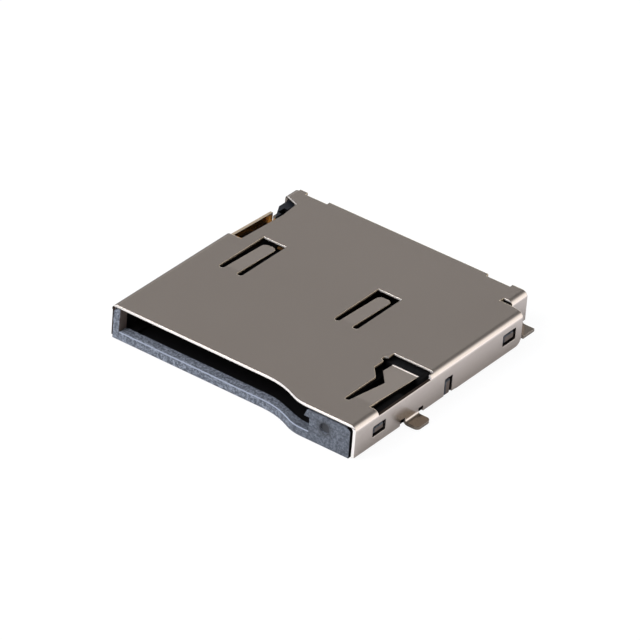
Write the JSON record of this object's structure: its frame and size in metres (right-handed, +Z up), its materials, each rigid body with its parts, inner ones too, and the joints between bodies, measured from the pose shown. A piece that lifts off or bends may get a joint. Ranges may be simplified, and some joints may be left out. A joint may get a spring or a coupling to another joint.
{
  "type": "sd card socket",
  "caption": "Low folded metal shell over a moulded frame, with a wide card mouth in front, push-push eject mechanism, sprung contacts, card switch and solder tabs.",
  "frame": {"origin": "middle of the shell width and of the housing depth, on the seating face on the board", "axes": "+X to the right seen from the card mouth, +Y from the mouth to the solder tails, +Z up from the board"},
  "size_m": [0.0156, 0.0149, 0.0018],
  "materials": {
    "shell_steel": "satin",
    "housing_plastic": "matt, slightly speckled",
    "slider_plastic": "matt",
    "wire_steel": "drawn wire",
    "contact_gold": "gold plated"
  },
  "bodies": {
    "socket": {"shell": "shell_steel", "housing": "housing_plastic", "eject_spring": "wire_steel", "detect_blade": "contact_gold", "detect_terminal": "contact_gold", "contact_1": "contact_gold", "contact_2": "contact_gold", "contact_3": "contact_gold", "contact_4": "contact_gold", "contact_5": "contact_gold", "contact_6": "contact_gold", "contact_7": "contact_gold", "contact_8": "contact_gold"},
    "slider": {"eject_slider": "slider_plastic"},
    "link": {"cam_link": "wire_steel"}
  },
  "joints": [
    {"name": "eject_slide", "type": "slide", "parent": "socket", "child": "slider", "axis": [0, 1, 0], "range_m": [0, 0.0032], "stiffness_N_per_m": 300, "springref_m": -0.002, "deforming": ["eject_spring"]},
    {"name": "link_swing", "type": "hinge", "parent": "socket", "child": "link", "pos_m": [0.00605, -0.00635, 0.00126], "axis": [0, 0, 1], "range_deg": [0, 11.4]}
  ]
}
